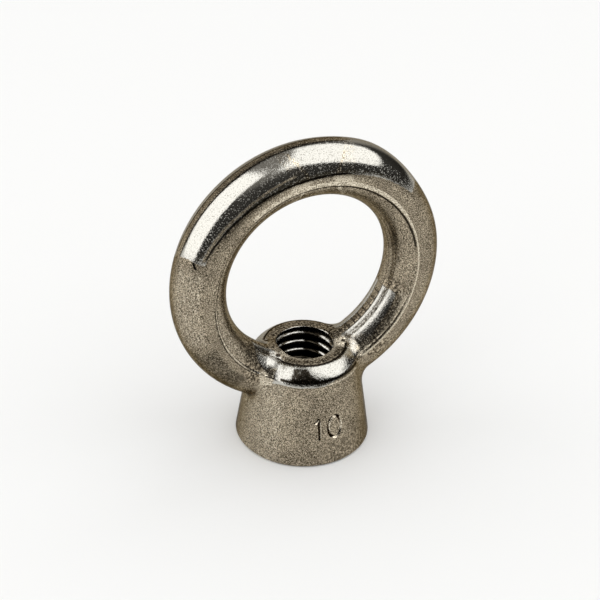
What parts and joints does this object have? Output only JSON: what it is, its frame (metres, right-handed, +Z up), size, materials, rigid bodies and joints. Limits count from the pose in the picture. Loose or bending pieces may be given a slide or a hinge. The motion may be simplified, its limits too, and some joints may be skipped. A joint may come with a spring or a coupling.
{
  "type": "lifting eye nut",
  "caption": "One-piece eye nut: a round-bar lifting ring standing on a tapered boss with a rounded shoulder and a threaded through bore.",
  "frame": {"origin": "centre of the flat base face, on the axis of the threaded bore", "axes": "+Z up along the bore towards the ring; +Y straight through the eye; +X across the ring"},
  "size_m": [0.0404, 0.02, 0.0473],
  "materials": {
    "satin_steel": "bead-blasted stainless steel, polished on its exposed curves"
  },
  "bodies": {
    "root": {"eye_nut": "satin_steel"}
  },
  "joints": []
}
